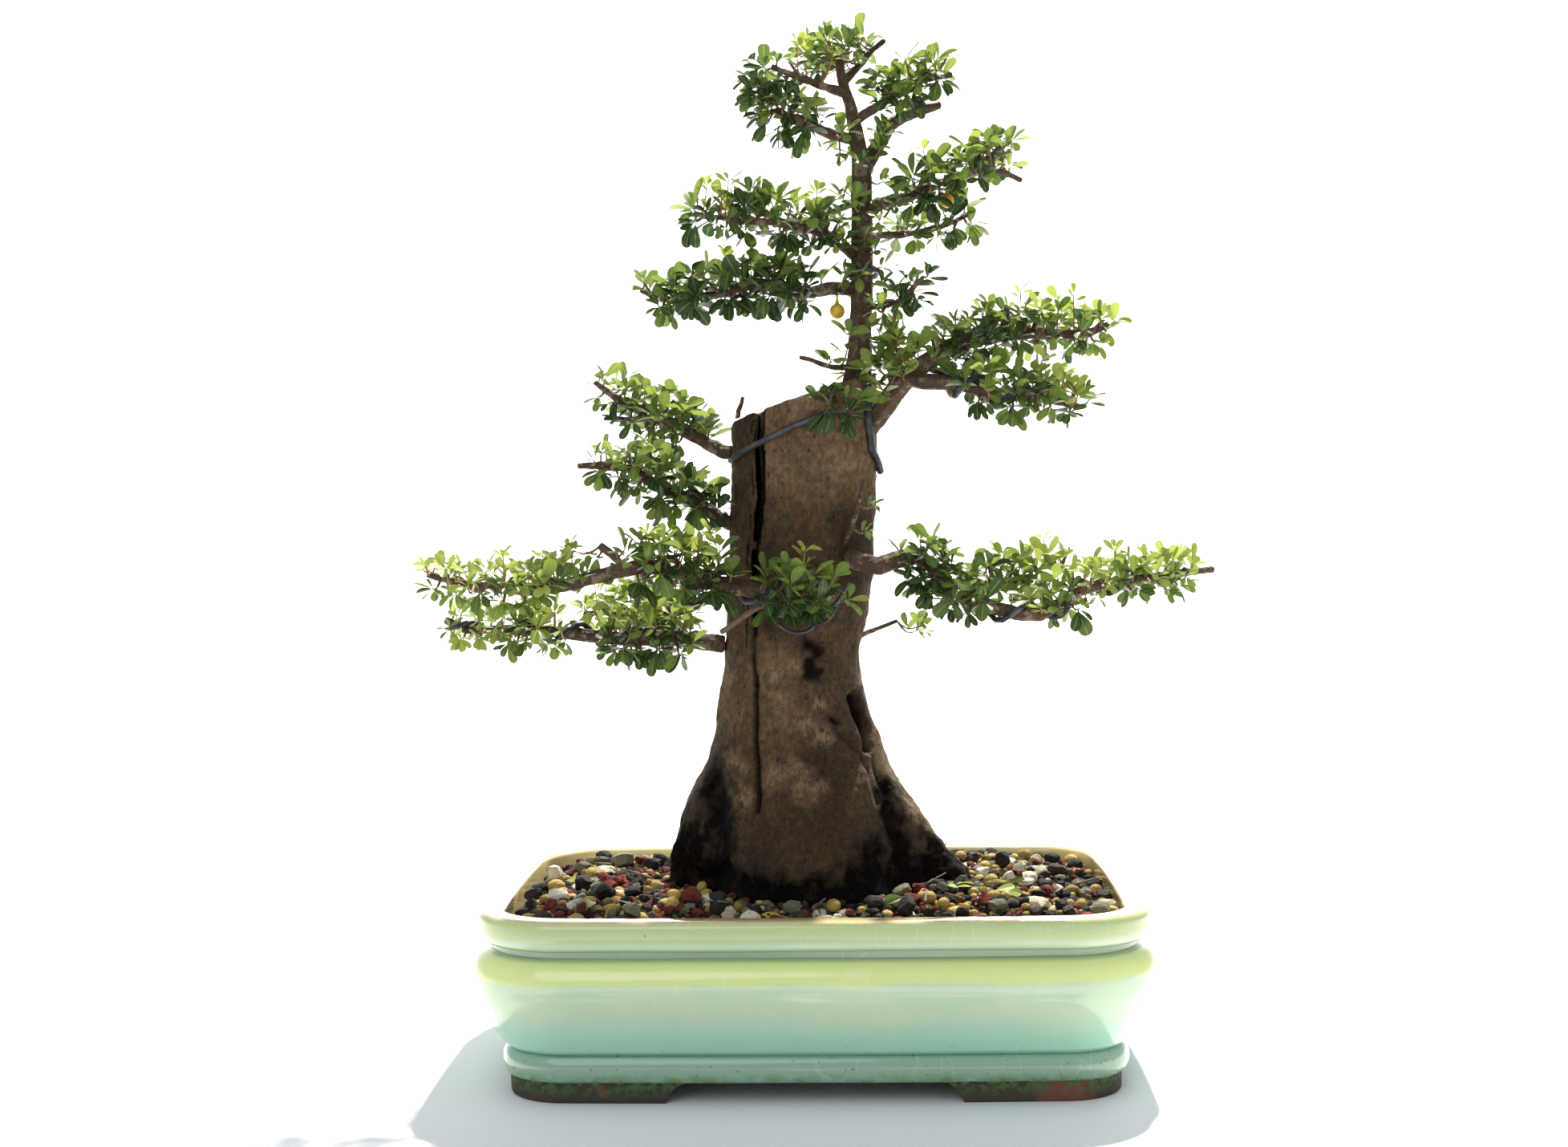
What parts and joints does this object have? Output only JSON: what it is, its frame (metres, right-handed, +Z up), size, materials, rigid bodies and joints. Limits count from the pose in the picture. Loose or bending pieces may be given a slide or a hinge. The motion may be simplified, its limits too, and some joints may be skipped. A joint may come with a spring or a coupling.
{
  "type": "bonsai tree in a pot",
  "caption": "Chopped, split-trunk broadleaf bonsai with wired branches and small glossy leaves, planted in grit in a footed, rectangular, mint-glazed stoneware pot.",
  "frame": {"origin": "on the ground, under the middle of the pot", "axes": "+Z up the tree, +X along the pot's length, -Y to the side the tree is shown from"},
  "size_m": [0.4261, 0.256, 0.5603],
  "materials": {
    "glaze": "glossy celadon glaze, yellow-green where thin on upper faces and mint on the walls, over brown clay feet",
    "screen": "black plastic mesh",
    "soil": "damp granular potting mix",
    "grit": "mixed pumice, fired clay and lava grit",
    "bark": "rough grey-brown bark with ochre patches, damp and black at the base",
    "young_bark": "smooth brown bark",
    "leaf": "glossy leathery leaf, yellow-green when young",
    "wire": "dark anodised training wire, satin",
    "fruit": "smooth berry skin, yellow-orange over green"
  },
  "bodies": {
    "root": {"branch_leader_left_high": "young_bark", "branch_leader_left_low": "young_bark", "branch_leader_right_high": "young_bark", "branch_leader_right_low": "young_bark", "branch_low_front_left": "young_bark", "branch_low_left": "young_bark", "branch_low_left_back": "young_bark", "branch_low_right": "young_bark", "branch_mid_left_lower": "young_bark", "branch_mid_left_upper": "young_bark", "branch_upper_right": "young_bark", "drain_screen_left": "screen", "drain_screen_right": "screen", "fruit_left": "fruit", "fruit_right": "fruit", "grit_top_dressing": "grit", "leader": "young_bark", "leaves_crown_left": "leaf", "leaves_crown_right": "leaf", "leaves_crown_top": "leaf", "leaves_leader_left_fork": "leaf", "leaves_leader_left_high": "leaf", "leaves_leader_left_low": "leaf", "leaves_leader_right_high": "leaf", "leaves_leader_right_low": "leaf", "leaves_leader_twig": "leaf", "leaves_low_front_left_mid": "leaf", "leaves_low_front_left_tip": "leaf", "leaves_low_left_back": "leaf", "leaves_low_left_inner": "leaf", "leaves_low_left_tip": "leaf", "leaves_low_right_back": "leaf", "leaves_low_right_inner": "leaf", "leaves_low_right_tip": "leaf", "leaves_mid_left_lower": "leaf", "leaves_mid_left_upper": "leaf", "leaves_stump": "leaf", "leaves_trunk_front": "leaf", "leaves_upper_right_foot": "leaf", "leaves_upper_right_low": "leaf", "leaves_upper_right_top": "leaf", "pot": "glaze", "potting_soil": "soil", "trunk": "bark", "twig_leader": "young_bark", "twig_leader_foot": "young_bark", "twig_orange_shoot": "young_bark", "twig_slab": "young_bark", "twig_stump": "young_bark", "twig_trunk": "young_bark", "wire_leader_left_high": "wire", "wire_leader_ring": "wire", "wire_low_front_left": "wire", "wire_low_left": "wire", "wire_low_right": "wire", "wire_trunk_right": "wire", "wire_trunk_top": "wire", "wire_upper_right": "wire"}
  },
  "joints": []
}
